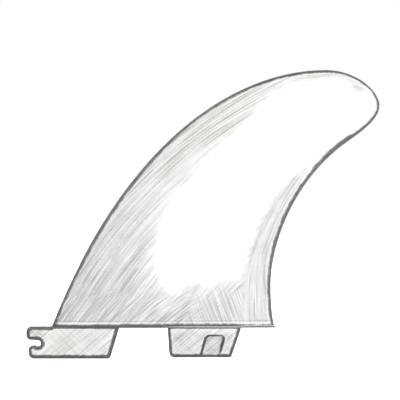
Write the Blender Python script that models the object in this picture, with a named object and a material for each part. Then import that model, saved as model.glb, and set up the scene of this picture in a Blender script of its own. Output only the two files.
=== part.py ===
"""Surfboard fin with a two-tab base, moulded in one piece from glass-filled nylon.

The blade is a raked hydrofoil: one thickness rule spread between a leading and a trailing edge that
are smooth curves. Its foot flares out to a flat underside. Two flat tabs below drop into the board's
fin box. The front tab ends in a hook that slides under a cross pin and seats on it, and the rear tab
has a ramped pocket on each side for a sprung catch.

X runs to the rear, Y across and Z up the blade. The origin lies on the flat underside of the blade,
midway between the tabs, at the level of the board's surface.
"""

import math

import bmesh
import bpy
import numpy as np
from mathutils import Vector
from mathutils.geometry import interpolate_bezier

MM = 0.001

# Blade outline, seen from the side
BASE_LENGTH = 107.3 * MM
BASE_LEAD = 44.2 * MM       # from the foot of the leading edge back to the origin
DEPTH = 123.6 * MM          # from the board to the crest, the highest point
REACH = 157.4 * MM          # from the foot of the leading edge back to the tip, the rearmost point
TIP_DROP = 17.0 * MM        # tip below the crest
CREST_SETBACK = 25.7 * MM   # crest ahead of the tip
BEND_DROP = 19.2 * MM       # end of the rounded tip, below the tip
BEND_SETBACK = 17.9 * MM    # and ahead of it
WAIST_HEIGHT = 20.2 * MM    # where the trailing edge stands upright
WAIST_INSET = 2.1 * MM      # and lies furthest ahead of the heel
SWEEP_ANGLE = 68.7          # leading edge at the board, in degrees from the board
BEND_ANGLE = 37.5           # trailing edge where the rounded tip ends
HEEL_ANGLE = 117.5          # trailing edge at the board

# Length of each curve's two handles, as shares of the straight distance between its ends
LEADING_PULLS = (0.525, 0.245)
CREST_PULLS = (0.465, 0.235)
HEEL_PULLS = (0.13, 0.445)
TRAILING_PULLS = (0.29, 0.375)
UNDERTIP_PULLS = (0.285, 0.295)

# Blade section
ROOT_THICKNESS = 7.0 * MM
TIP_THICKNESS = 2.4 * MM
TRAILING_EDGE = 0.9 * MM    # thickness of the rounded trailing edge
TIP_ROUNDING = 12.0 * MM    # length of leading edge over which the tip thins out
FLARE_WIDTH = 0.6 * MM      # the foot of the blade stands out by this all round
FLARE_HEIGHT = 2.4 * MM
FLARE_POWER = 2.5           # how steeply the flare grows towards the board

# Tabs
TAB_THICKNESS = 6.4 * MM
TAB_GAP = 23.0 * MM
TAB_EDGE_ROUNDING = 0.5 * MM
TAB_CORNER_RADIUS = 1.3 * MM
FRONT_TAB_LENGTH = 44.55 * MM
FRONT_TAB_DEPTH = 14.7 * MM
FRONT_TAB_TAPER = 4.6 * MM  # its rear end slants forward by this, top to bottom
FRONT_SHOULDER = 0.6 * MM   # its top stands this far above the blade's underside
REAR_TAB_LENGTH = 35.6 * MM
REAR_TAB_DEPTH = 14.1 * MM
REAR_TAB_LEAD_TAPER = 1.0 * MM
REAR_TAB_REAR_TAPER = 5.1 * MM
REAR_TAB_LEAD_RADIUS = 2.4 * MM
REAR_SHOULDER = 0.8 * MM

# Hook at the front of the front tab
HOOK_FINGER = 5.6 * MM      # height of the finger, from the board to the slot's mouth
HOOK_FINGER_TAPER = 0.45 * MM  # the finger grows by this towards the pin's seat
HOOK_SLOT_LENGTH = 6.9 * MM
PIN_SEAT_HEIGHT = 2.9 * MM
PIN_SEAT_LENGTH = 2.3 * MM
PIN_SEAT_DIP = 0.45 * MM    # the seat lies this far below the lip of the jaw
PIN_SEAT_RAMP = 0.6 * MM    # length of the slope from the seat up to the lip
PIN_SEAT_FOOT_RADIUS = 0.4 * MM
HOOK_LIP_RADIUS = 0.8 * MM
HOOK_JAW_SETBACK = 1.0 * MM  # the jaw ends this far behind the finger
HOOK_NOSE_RADIUS = 2.2 * MM
HOOK_JAW_RADIUS = 2.8 * MM

# Pocket on each side of the rear tab, open at the bottom
POCKET_WIDTH = 8.9 * MM
POCKET_SETBACK = 20.1 * MM  # middle of its mouth, behind the front of the tab
POCKET_LEAN = 2.9 * MM      # its top lies this far behind its mouth
POCKET_HEADROOM = 3.6 * MM  # from its top up to the board
POCKET_TOP_DEPTH = 1.7 * MM
POCKET_MOUTH_DEPTH = 0.8 * MM
POCKET_REAR_DRAFT = 1.2 * MM  # its rear wall slopes in by this, surface to floor
POCKET_FRONT_RADIUS = 2.4 * MM
POCKET_REAR_RADIUS = 1.5 * MM

# How finely the curves are cut into flats
CURVE_STEPS = 160
SPAN_ROWS = 58
FLARE_ROWS = 8
CHORD_ROWS = 17
CORNER_STEP = math.radians(15)
TIP_CROWDING = 0.55         # how much closer the rows lie towards the tip
TRAILING_EDGE_ROUND = (0.5, 0.13, 0.0)  # rows round the trailing edge, in radii from its end


def heading(degrees):
    """Unit vector in the blade's plane, turned up from the rearward direction."""
    angle = math.radians(degrees)
    return Vector((math.cos(angle), 0.0, math.sin(angle)))


def fair_curve(start, start_heading, end, end_heading, pulls):
    """Smooth curve between two points that leaves and arrives along the given headings."""
    span = (end - start).length
    first = start + heading(start_heading) * span * pulls[0]
    second = end - heading(end_heading) * span * pulls[1]
    return interpolate_bezier(start, first, second, end, CURVE_STEPS)


def blade_edges():
    """Leading and trailing edge, each a list of points from the board up to the tip."""
    foot = Vector((-BASE_LEAD, 0.0, 0.0))
    heel = foot + Vector((BASE_LENGTH, 0.0, 0.0))
    tip = foot + Vector((REACH, 0.0, DEPTH - TIP_DROP))
    crest = tip + Vector((-CREST_SETBACK, 0.0, TIP_DROP))
    bend = tip + Vector((-BEND_SETBACK, 0.0, -BEND_DROP))
    waist = heel + Vector((-WAIST_INSET, 0.0, WAIST_HEIGHT))

    leading = fair_curve(foot, SWEEP_ANGLE, crest, 0.0, LEADING_PULLS)
    leading += fair_curve(crest, 0.0, tip, -90.0, CREST_PULLS)[1:]
    trailing = fair_curve(heel, HEEL_ANGLE, waist, 90.0, HEEL_PULLS)
    trailing += fair_curve(waist, 90.0, bend, BEND_ANGLE, TRAILING_PULLS)[1:]
    trailing += fair_curve(bend, BEND_ANGLE, tip, 90.0, UNDERTIP_PULLS)[1:]
    return leading, trailing


def lengths_along(points):
    """Distance of each point from the first, measured along the line through them."""
    steps = np.linalg.norm(np.diff(points, axis=0), axis=1)
    return np.concatenate(([0.0], np.cumsum(steps)))


def points_at_shares(points, shares):
    """Points of a line at the given shares of its length."""
    points = np.array(points)
    lengths = lengths_along(points)
    return np.column_stack([np.interp(shares * lengths[-1], lengths, points[:, k]) for k in range(3)])


def foil_half_thickness(chord_share, thickness):
    """Half thickness of the standard four-digit symmetric foil, rounded nose to thin tail."""
    u = chord_share
    curve = 0.2969 * np.sqrt(u) - 0.1260 * u - 0.3516 * u**2 + 0.2843 * u**3 - 0.1015 * u**4
    return 5.0 * thickness * curve


def chord_stations(chord, edge_radius):
    """Shares of the chord from nose to tail, close together at both rounded ends."""
    body = np.linspace(0.0, 1.0, CHORD_ROWS) ** 2 * (1.0 - edge_radius / chord)
    tail = 1.0 - np.array(TRAILING_EDGE_ROUND) * edge_radius / chord
    return np.concatenate((body, tail))


def flare_spread(height):
    """How far the foot of the blade stands out from the foil, at a height above the board."""
    closeness = np.clip(1.0 - height / FLARE_HEIGHT, 0.0, 1.0)
    return FLARE_WIDTH * closeness**FLARE_POWER


def section_ring(nose, tail, thickness):
    """Closed ring of points round one section, from the nose along +Y to the tail and back."""
    chord = np.linalg.norm(tail - nose)
    edge_radius = min(TRAILING_EDGE / 2, chord / 4)
    u = chord_stations(chord, edge_radius)
    half = foil_half_thickness(u, thickness) + edge_radius * u
    to_end = np.minimum((1.0 - u) * chord / edge_radius, 1.0)
    half *= np.sqrt(1.0 - (1.0 - to_end) ** 2)
    half[0] = 0.0

    side = nose + (tail - nose) * u[:, None]
    side[:, 1] = half
    along = np.gradient(side[:, 0], u)
    across = np.gradient(half, u)
    along[0] = 0.0
    out = np.column_stack((-across, along)) / np.hypot(across, along)[:, None]
    side[:, :2] += out * flare_spread(side[:, 2])[:, None]
    side[[0, -1], 1] = 0.0
    return np.concatenate((side, side[-2:0:-1] * (1.0, -1.0, 1.0)))


def span_shares(trailing_length):
    """Shares of each edge's length at which a section lies, closer together in the flare and the tip."""
    flare_top = FLARE_HEIGHT / (trailing_length * heading(HEEL_ANGLE).z)
    even = np.linspace(0.0, 1.0, SPAN_ROWS, endpoint=False)
    crowded = (1.0 - TIP_CROWDING) * even + TIP_CROWDING * np.sin(even * math.pi / 2)
    above = flare_top + (1.0 - flare_top) * crowded
    return np.concatenate((np.linspace(0.0, flare_top, FLARE_ROWS, endpoint=False), above))


def make_blade():
    """Loft the blade through its sections, closed at the board by a flat and at the tip by a point."""
    leading, trailing = blade_edges()
    leading_length = lengths_along(np.array(leading))[-1]
    trailing_length = lengths_along(np.array(trailing))[-1]
    shares = span_shares(trailing_length)
    noses = points_at_shares(leading, shares)
    tails = points_at_shares(trailing, shares)
    to_tip = np.minimum((1.0 - shares) * leading_length / TIP_ROUNDING, 1.0)
    thicknesses = TIP_THICKNESS + (ROOT_THICKNESS - TIP_THICKNESS) * (1.0 - shares)
    thicknesses *= np.sin(to_tip * math.pi / 2)

    mesh = bmesh.new()
    rings = []
    for nose, tail, thickness in zip(noses, tails, thicknesses):
        rings.append([mesh.verts.new(point) for point in section_ring(nose, tail, thickness)])
    tip = mesh.verts.new(leading[-1])

    count = len(rings[0])
    mesh.faces.new(rings[0])
    for lower, upper in zip(rings, rings[1:]):
        for k in range(count):
            after = (k + 1) % count
            mesh.faces.new((lower[k], upper[k], upper[after], lower[after]))
    for k in range(count):
        mesh.faces.new((rings[-1][k], tip, rings[-1][(k + 1) % count]))
    return finish_object("surfboard_fin", mesh)


def rounded_outline(corners):
    """Outline in the X-Z plane through corners given as (x, z, radius), each rounded by an arc."""
    outline = []
    for k, (x, z, radius) in enumerate(corners):
        corner = Vector((x, z))
        before = (Vector(corners[k - 1][:2]) - corner).normalized()
        after = (Vector(corners[(k + 1) % len(corners)][:2]) - corner).normalized()
        if radius == 0.0:
            outline.append(corner)
            continue
        half_angle = before.angle(after) / 2
        centre = corner + (before + after).normalized() * radius / math.sin(half_angle)
        first = corner + before * radius / math.tan(half_angle) - centre
        last = corner + after * radius / math.tan(half_angle) - centre
        turn = first.angle_signed(last)
        steps = max(1, round(abs(turn) / CORNER_STEP))
        for step in range(steps + 1):
            angle = -turn * step / steps
            cos, sin = math.cos(angle), math.sin(angle)
            outline.append(centre + Vector((first.x * cos - first.y * sin, first.x * sin + first.y * cos)))
    return outline


def extrude_outline(mesh, outline, thickness):
    """Plate of the given thickness, centred on the blade's plane, with the outline's shape."""
    verts = [mesh.verts.new((point.x, -thickness / 2, point.y)) for point in outline]
    face = mesh.faces.new(verts)
    moved = bmesh.ops.extrude_face_region(mesh, geom=[face])["geom"]
    moved_verts = [item for item in moved if isinstance(item, bmesh.types.BMVert)]
    bmesh.ops.translate(mesh, verts=moved_verts, vec=(0.0, thickness, 0.0))
    bmesh.ops.recalc_face_normals(mesh, faces=mesh.faces[:])
    return verts, moved_verts


def make_tab(name, corners):
    """Flat tab with rounded edges, whose top is sunk in the blade or stands out beside it as a shoulder."""
    mesh = bmesh.new()
    extrude_outline(mesh, rounded_outline(corners), TAB_THICKNESS)
    rims = [edge for edge in mesh.edges if abs(edge.verts[0].co.y - edge.verts[1].co.y) < TAB_THICKNESS / 2]
    bmesh.ops.bevel(
        mesh, geom=rims, offset=TAB_EDGE_ROUNDING, offset_type="OFFSET", segments=2, profile=0.5,
        affect="EDGES", clamp_overlap=True,
    )
    return finish_object(name, mesh)


def make_front_tab():
    """Front tab, whose forward end is a hook: a finger, a slot with a seat for the cross pin, and a jaw."""
    rear = -TAB_GAP / 2
    front = rear - FRONT_TAB_LENGTH
    slot_end = front + HOOK_SLOT_LENGTH
    seat_top = -HOOK_FINGER - HOOK_FINGER_TAPER
    seat_floor = seat_top - PIN_SEAT_HEIGHT
    seat_radius = 0.49 * PIN_SEAT_HEIGHT
    seat_front = slot_end - PIN_SEAT_LENGTH
    lip_height = seat_floor + PIN_SEAT_DIP
    jaw_front = front + HOOK_JAW_SETBACK
    return make_tab("front_tab", [
        (rear, FRONT_SHOULDER, 0.0),
        (front, FRONT_SHOULDER, HOOK_NOSE_RADIUS),
        (front, -HOOK_FINGER, HOOK_NOSE_RADIUS),
        (slot_end, seat_top, seat_radius),
        (slot_end, seat_floor, seat_radius),
        (seat_front, seat_floor, PIN_SEAT_FOOT_RADIUS),
        (seat_front - PIN_SEAT_RAMP, lip_height, HOOK_LIP_RADIUS),
        (jaw_front, lip_height, HOOK_NOSE_RADIUS),
        (jaw_front, -FRONT_TAB_DEPTH, HOOK_JAW_RADIUS),
        (rear - FRONT_TAB_TAPER, -FRONT_TAB_DEPTH, TAB_CORNER_RADIUS),
    ])


def make_rear_tab():
    """Rear tab, tapered at both ends so that it drops into the box and pulls up tight."""
    front = TAB_GAP / 2
    rear = front + REAR_TAB_LENGTH
    tab = make_tab("rear_tab", [
        (front, REAR_SHOULDER, 0.0),
        (front + REAR_TAB_LEAD_TAPER, -REAR_TAB_DEPTH, REAR_TAB_LEAD_RADIUS),
        (rear - REAR_TAB_REAR_TAPER, -REAR_TAB_DEPTH, TAB_CORNER_RADIUS),
        (rear, REAR_SHOULDER, TAB_CORNER_RADIUS),
    ])
    combine(tab, make_pocket_cutter(), "DIFFERENCE")
    return tab


def make_pocket_cutter():
    """Arched cutter for the pockets: its floor is a ramp that deepens from the mouth to the top."""
    mouth = -REAR_TAB_DEPTH
    top = -POCKET_HEADROOM
    lean = POCKET_LEAN / (top - mouth)
    half = POCKET_WIDTH / 2
    foot = mouth - TAB_THICKNESS / 2

    def front_wall(height):
        """Place of the pocket's front wall, which leans with the whole arch."""
        return TAB_GAP / 2 + POCKET_SETBACK - half + lean * (height - mouth)

    mesh = bmesh.new()
    outline = rounded_outline([
        (front_wall(foot), foot, 0.0),
        (front_wall(foot) + POCKET_WIDTH, foot, 0.0),
        (front_wall(top) + POCKET_WIDTH, top, POCKET_REAR_RADIUS),
        (front_wall(top), top, POCKET_FRONT_RADIUS),
    ])
    floor_verts, outer_verts = extrude_outline(mesh, outline, TAB_THICKNESS)
    slope = (POCKET_TOP_DEPTH - POCKET_MOUTH_DEPTH) / (top - mouth)
    for vert in floor_verts:
        across = (vert.co.x - front_wall(vert.co.z)) / POCKET_WIDTH
        vert.co.x -= POCKET_REAR_DRAFT * across
        vert.co.y = TAB_THICKNESS / 2 - POCKET_MOUTH_DEPTH - slope * (vert.co.z - mouth)
    for vert in outer_verts:
        vert.co.y = TAB_THICKNESS / 2 + POCKET_MOUTH_DEPTH
    cutter = finish_object("pocket_cutter", mesh)
    mirror = cutter.modifiers.new("both sides", "MIRROR")
    mirror.use_axis = (False, True, False)
    mirror.merge_threshold = 0.0001
    return cutter


def finish_object(name, mesh):
    """New object from a finished mesh, shaded smooth except along its true edges."""
    bmesh.ops.recalc_face_normals(mesh, faces=mesh.faces[:])
    data = bpy.data.meshes.new(name)
    mesh.to_mesh(data)
    mesh.free()
    data.shade_smooth()
    data.set_sharp_from_angle(angle=math.radians(32))
    item = bpy.data.objects.new(name, data)
    bpy.context.scene.collection.objects.link(item)
    return item


def combine(target, operand, operation):
    """Join or cut with another object, which stays only as a hidden guide."""
    modifier = target.modifiers.new(f"{operation.lower()} {operand.name}", "BOOLEAN")
    modifier.operation = operation
    modifier.solver = "EXACT"
    modifier.object = operand
    operand.hide_render = True
    operand.display_type = "WIRE"


def glass_filled_nylon():
    """Milky white nylon with long glass fibres, satin from the mould."""
    material = bpy.data.materials.new("glass_filled_nylon")
    material.use_nodes = True
    shader = material.node_tree.nodes["Principled BSDF"]
    shader.inputs["Base Color"].default_value = (0.82, 0.83, 0.81, 1.0)
    shader.inputs["Roughness"].default_value = 0.35
    shader.inputs["Metallic"].default_value = 0.0
    return material


def build():
    """Clear the scene and model the fin."""
    for item in list(bpy.data.objects):
        bpy.data.objects.remove(item)
    fin = make_blade()
    combine(fin, make_front_tab(), "UNION")
    combine(fin, make_rear_tab(), "UNION")
    flats = fin.modifiers.new("flats shaded flat", "WEIGHTED_NORMAL")
    flats.keep_sharp = True
    fin.data.materials.append(glass_filled_nylon())


build()
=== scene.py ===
"""Surfboard fin, moulded in one piece from glass-filled nylon, standing on a pale floor.

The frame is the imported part's: X runs to the rear, Y across and Z up the blade, and the origin lies on the
blade's flat underside, midway between the tabs. One fine mesh takes the place of the plain solid: a lofted
hydrofoil blade, a front tab that ends in a hook, and a rear tab with a ramped pocket in each side.
"""

import functools
import math
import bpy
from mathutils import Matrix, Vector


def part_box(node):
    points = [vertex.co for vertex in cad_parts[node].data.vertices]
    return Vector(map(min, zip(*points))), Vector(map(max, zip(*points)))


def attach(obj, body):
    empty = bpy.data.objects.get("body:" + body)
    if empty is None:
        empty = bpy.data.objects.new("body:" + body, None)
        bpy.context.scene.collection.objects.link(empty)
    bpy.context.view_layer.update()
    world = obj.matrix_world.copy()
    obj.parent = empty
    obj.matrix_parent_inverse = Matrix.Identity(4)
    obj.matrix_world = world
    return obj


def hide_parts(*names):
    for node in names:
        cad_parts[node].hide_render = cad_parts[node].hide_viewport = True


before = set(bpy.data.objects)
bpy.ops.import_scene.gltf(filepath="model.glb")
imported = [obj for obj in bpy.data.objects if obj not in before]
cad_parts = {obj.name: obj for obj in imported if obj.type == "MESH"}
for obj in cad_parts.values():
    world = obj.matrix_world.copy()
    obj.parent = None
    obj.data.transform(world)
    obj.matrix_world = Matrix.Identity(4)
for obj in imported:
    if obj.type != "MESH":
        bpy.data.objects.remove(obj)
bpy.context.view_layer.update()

import types

import bpy
import numpy as np
from mathutils import Vector
from mathutils.geometry import delaunay_2d_cdt

MM = 0.001
LOW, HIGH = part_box("surfboard_fin")

# Blade outline, seen from the side
FOOT_X = -44.2 * MM         # leading edge at the board
HEEL_X = 63.1 * MM          # trailing edge at the board
TIP_DROP = 17.0 * MM        # tip below the crest
CREST_SETBACK = 25.7 * MM   # crest ahead of the tip
BEND_DROP = 19.2 * MM       # end of the rounded tip, below the tip
BEND_SETBACK = 17.9 * MM    # and ahead of it
WAIST_HEIGHT = 20.2 * MM    # where the trailing edge stands upright
WAIST_INSET = 2.1 * MM      # and lies furthest ahead of the heel
SWEEP_ANGLE = 68.7          # leading edge at the board, in degrees from the board
BEND_ANGLE = 37.5           # trailing edge where the rounded tip ends
HEEL_ANGLE = 117.5          # trailing edge at the board

# Length of each curve's two handles, as shares of the straight distance between its ends
LEADING_PULLS = (0.525, 0.245)
CREST_PULLS = (0.465, 0.235)
HEEL_PULLS = (0.13, 0.445)
TRAILING_PULLS = (0.29, 0.375)
UNDERTIP_PULLS = (0.285, 0.295)

# Blade section
ROOT_THICKNESS = 7.0 * MM
TIP_THICKNESS = 2.4 * MM
TRAILING_EDGE = 0.9 * MM    # thickness of the rounded trailing edge
TIP_ROUNDING = 12.0 * MM    # length of leading edge over which the tip thins out
FLARE_WIDTH = 0.6 * MM      # the foot of the blade stands out by this all round
FLARE_HEIGHT = 2.4 * MM
FLARE_POWER = 2.5           # how steeply the flare grows towards the board
FOIL = (0.2969, 0.1260, 0.3516, 0.2843, 0.1015)  # a to e in the standard four-digit foil

# Tabs
TAB_THICKNESS = 6.4 * MM
TAB_GAP = 23.0 * MM
TAB_EDGE_ROUNDING = 0.5 * MM
TAB_CORNER_RADIUS = 1.3 * MM
FRONT_TAB_TAPER = 4.6 * MM  # its rear end slants forward by this, top to bottom
FRONT_SHOULDER = 0.6 * MM   # its top stands this far above the blade's underside
REAR_TAB_LENGTH = 35.6 * MM
REAR_TAB_DEPTH = 14.1 * MM
REAR_TAB_LEAD_TAPER = 1.0 * MM
REAR_TAB_REAR_TAPER = 5.1 * MM
REAR_TAB_LEAD_RADIUS = 2.4 * MM
REAR_SHOULDER = 0.8 * MM

# Hook at the front of the front tab
HOOK_FINGER = 5.6 * MM      # height of the finger, from the board to the slot's mouth
HOOK_FINGER_TAPER = 0.45 * MM  # the finger grows by this towards the pin's seat
HOOK_SLOT_LENGTH = 6.9 * MM
PIN_SEAT_HEIGHT = 2.9 * MM
PIN_SEAT_LENGTH = 2.3 * MM
PIN_SEAT_DIP = 0.45 * MM    # the seat lies this far below the lip of the jaw
PIN_SEAT_RAMP = 0.6 * MM    # length of the slope from the seat up to the lip
PIN_SEAT_FOOT_RADIUS = 0.4 * MM
PIN_SEAT_ROUNDNESS = 0.49   # radius of the slot's closed end, as a share of its height
HOOK_LIP_RADIUS = 0.8 * MM
HOOK_JAW_SETBACK = 1.0 * MM  # the jaw ends this far behind the finger
HOOK_NOSE_RADIUS = 2.2 * MM
HOOK_JAW_RADIUS = 2.8 * MM

# Pocket on each side of the rear tab, open at the bottom
POCKET_WIDTH = 8.9 * MM
POCKET_SETBACK = 20.1 * MM  # middle of its mouth, behind the front of the tab
POCKET_LEAN = 2.9 * MM      # its top lies this far behind its mouth
POCKET_HEADROOM = 3.6 * MM  # from its top up to the board
POCKET_TOP_DEPTH = 1.7 * MM
POCKET_MOUTH_DEPTH = 0.8 * MM
POCKET_REAR_DRAFT = 1.2 * MM  # its rear wall slopes in by this, surface to floor
POCKET_FRONT_RADIUS = 2.4 * MM
POCKET_REAR_RADIUS = 1.5 * MM
POCKET_RIM_ROUNDING = 0.22 * MM
POCKET_RIM_START = math.radians(15)  # the rim's rounding starts at this angle, for a clean cut
POCKET_FLOOR_ROUNDING = 0.35 * MM
POCKET_OVERRUN = 1.0 * MM   # its cutter reaches this far below the tab

# How finely the surfaces are cut
CURVE_STEPS = 600
FLARE_ROWS = 20
SPAN_ROWS = 230
CHORD_ROWS = 100
TIP_CROWDING = 0.55         # how much closer the rows lie towards the tip
UNDERSIDE_COLUMNS = 9
TAB_ROUNDING_ROWS = 6
TAB_RIM_ROWS = 8
POCKET_RIM_ROWS = 5
POCKET_FLOOR_ROWS = 6
ARC_STEP = math.radians(6)
TAB_STEP = 0.5 * MM         # spacing of points along the straight stretches and over the flat faces
CAP_CLEARANCE = 0.6 * TAB_STEP  # points over a flat face stay this far from its border
SHARP_CORNER_CLEARANCE = 2.4 * TAB_EDGE_ROUNDING  # and none on a border is this close to a sharp corner
SAME_POINT = 0.01 * MM      # points of a border that are closer together than this are one
SAME_LEVEL = 0.02 * MM      # what is closer to the board's level than this lies on the underside
BLOCK = 1000                # points are measured about so many at a time
HALVINGS = 26
CREASE_ANGLE = math.radians(40)  # edges that turn by more stay crisp

# Moulded nylon
MILKY_WHITE = "fbfbfb"
# Grey of the fibre lines, and of the painted shade around the white middle's painted highlight
FIBRE_AND_SHADE_GREY = "b4b4b4"
YELLOWED_GREY = "b6b7a6"
# Grey of the painted shade along the edges, under the blade's foot and round the pockets
EDGE_SHADE_GREY = "363636"
BORDER_GREY = 0.19          # share of grey, painted shade, at the border of the white middle's painted highlight
DEEPEST_GREY = 0.69         # and far outside it
GREY_DEPTH = 11.0           # in millimetres; it comes in over a few of these
FINGER_GREY = 0.62          # added in the hook's finger
BLADE_CHORD = 90.0 * MM     # a middling one, for distances along it
SWEEP_CENTRE = (182 * MM, 0.0, -115 * MM)  # the melt sweeps up the blade on circles about this point
ROOT_CENTRE = (75 * MM, 0.0, -70 * MM)     # and leaves the tabs on circles about this one
CIRCLE_RADIUS = 0.25        # in metres; distances along the circles are right at this one
HEEL_FLOW = 110.0           # over the heel it runs straight, at this angle to the board
TAB_FLOW = (40.0, 135.0)    # and on the tabs in two crossing directions
LINE_WIDTH = 0.65 * MM      # the real lines are about 0.2 mm wide, too fine to show
LINE_LENGTH = 26.0 * MM
SIDE_STEP = 7.3             # the noise moves on by this, so the sides have different lines
DARK_LINES = (0.57, 0.67)   # a dark line comes in where the noise is between these
PALE_LINES = (0.43, 0.33)   # and a pale one here
CLOUD_WIDTH = 7 * MM        # the fibres lie denser and thinner in clouds
GRAIN_WIDTH = 0.5 * MM      # fibre ends; the real ones are finer still, too fine to show
WAVER_WIDTH = 3 * MM        # of the dark bands' uneven borders
NOISE_RANGE = (0.3, 0.7)    # nearly all of a noise lies between these
MIX_COLOURS = (6, 7, 2)     # numbers of a colour mix's two colours and of its result

# Border of the white middle, a painted highlight: corners as x, z and rounding in millimetres.
# It passes outside the blade round the tip.
WHITE_MIDDLE = (
    (85, 118.5, 3), (96, 118, 2), (103, 111.5, 1), (109, 113.5, 1), (118, 114, 2), (120, 104, 2),
    (99, 84, 2), (85, 73, 2), (81, 77.5, 1), (76, 78, 2), (66, 68, 4), (55, 52, 4), (52, 40, 3), (49, 35, 1),
    (46, 23.5, 1.5), (37, 23, 2), (32, 20.5, 2), (26, 22, 2), (21, 21.5, 2), (15.5, 17, 1), (12.5, 17, 1),
    (8.5, 22, 3), (6.5, 31, 2), (5.5, 36, 1), (9.5, 50, 3), (16, 64.5, 2), (21, 68.5, 2), (31.5, 82.5, 3),
    (44, 92.5, 3), (52, 102, 3), (61, 111.5, 3), (72, 116.5, 3),
)

# Dark bands of painted shade along the edges, under the blade's foot and round the pockets. On the blade:
# shares of the span, and the band's widths there in millimetres
LEADING_BAND = (
    (0.0, 0.20, 0.28, 0.38, 0.50, 0.62, 0.74, 0.84, 0.90, 1.0),
    (1.57, 1.65, 1.80, 1.68, 1.50, 1.45, 1.42, 1.33, 1.17, 1.35),
)
TRAILING_BAND = (
    (0.0, 0.20, 0.36, 0.60, 0.70, 0.77, 0.84, 0.90, 1.0),
    (1.55, 1.55, 1.78, 1.60, 2.35, 2.45, 1.80, 1.35, 1.38),
)
FOOT_BAND = ((-30.0, 0.0, 42.0, 50.0), (1.6, 2.1, 2.0, 1.6))  # painted shadow along the foot, at these x, in millimetres too
CORNER_BAND = 0.45 * MM     # painted shadow below the board, where the tabs meet the underside
FRONT_TAB_BAND = 1.65 * MM
REAR_TAB_BAND = 1.45 * MM
# Painted shade round the pockets' rims and at the foot of their walls
POCKET_BAND = 0.75 * MM
POCKET_TOP_BAND = 0.45 * MM
POCKET_BAND_FADE = ((1.6 * MM, 3.0 * MM), (0.1, 1.0))  # heights above the mouth, and what is left of it

# Floor, room and lights
FLOOR_HALF_WIDTH = 2.5
FLOOR_CLEARANCE = 0.02 * MM
FLOOR_GREY = "e6e6e6"
FLOOR_GLOW = 0.85           # for the camera alone, so that the floor looks nearly white
ROOM_LIGHT = 0.25           # strength of the white room, which the camera sees in full
WHITE = "ffffff"

# Camera: square on to the blade's left side, 0.48 mm of the fin to a pixel
PIXEL = 0.48 * MM
PICTURE_WIDTH = 400
CAMERA_LENS = 200.0
SENSOR_WIDTH = 36.0
VIEW_CENTRE = Vector((27.07 * MM, 0.0, 61.2 * MM))


def heading(degrees):
    """Unit vector in the blade's plane, as x and z, turned up from the rearward direction."""
    return np.array((math.cos(math.radians(degrees)), math.sin(math.radians(degrees))))


def fair_curve(start, start_heading, end, end_heading, pulls):
    """Cubic curve (1-t)^3 A + 3(1-t)^2 t B + 3(1-t) t^2 C + t^3 D, with handles B and C along headings."""
    span = np.linalg.norm(end - start)
    first = start + heading(start_heading) * span * pulls[0]
    second = end - heading(end_heading) * span * pulls[1]
    t = np.linspace(0.0, 1.0, CURVE_STEPS)[:, None]
    return (1 - t) ** 3 * start + 3 * (1 - t) ** 2 * t * first + 3 * (1 - t) * t**2 * second + t**3 * end


def lengths_along(points):
    """Distance of each point from the first, measured along the line through them."""
    return np.concatenate(([0.0], np.cumsum(np.linalg.norm(np.diff(points, axis=0), axis=1))))


def at_shares(points, shares):
    """Points of a line at the given shares of its length."""
    lengths = lengths_along(points)
    return np.stack([np.interp(shares * lengths[-1], lengths, points[:, k]) for k in range(2)], axis=-1)


def blade_edges():
    """Leading and trailing edge, each a line of points (x, z) from the board up to the tip."""
    foot = np.array((FOOT_X, 0.0))
    heel = np.array((HEEL_X, 0.0))
    tip = np.array((HIGH.x, HIGH.z - TIP_DROP))
    crest = tip + (-CREST_SETBACK, TIP_DROP)
    bend = tip - (BEND_SETBACK, BEND_DROP)
    waist = heel + (-WAIST_INSET, WAIST_HEIGHT)
    leading = np.concatenate((
        fair_curve(foot, SWEEP_ANGLE, crest, 0.0, LEADING_PULLS),
        fair_curve(crest, 0.0, tip, -90.0, CREST_PULLS)[1:],
    ))
    trailing = np.concatenate((
        fair_curve(heel, HEEL_ANGLE, waist, 90.0, HEEL_PULLS),
        fair_curve(waist, 90.0, bend, BEND_ANGLE, TRAILING_PULLS)[1:],
        fair_curve(bend, BEND_ANGLE, tip, 90.0, UNDERTIP_PULLS)[1:],
    ))
    return leading, trailing


LEADING, TRAILING = blade_edges()
LEADING_LENGTH = lengths_along(LEADING)[-1]
TRAILING_LENGTH = lengths_along(TRAILING)[-1]


def span_shares():
    """Shares s of the edges' length for the rows: even in the flare, then crowding towards the tip."""
    flare_top = FLARE_HEIGHT / (TRAILING_LENGTH * heading(HEEL_ANGLE)[1])
    even = np.linspace(0.0, 1.0, SPAN_ROWS, endpoint=False)
    crowded = (1.0 - TIP_CROWDING) * even + TIP_CROWDING * np.sin(even * math.pi / 2)
    above = flare_top + (1.0 - flare_top) * crowded
    return np.concatenate((np.linspace(0.0, flare_top, FLARE_ROWS, endpoint=False), above))


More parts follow.
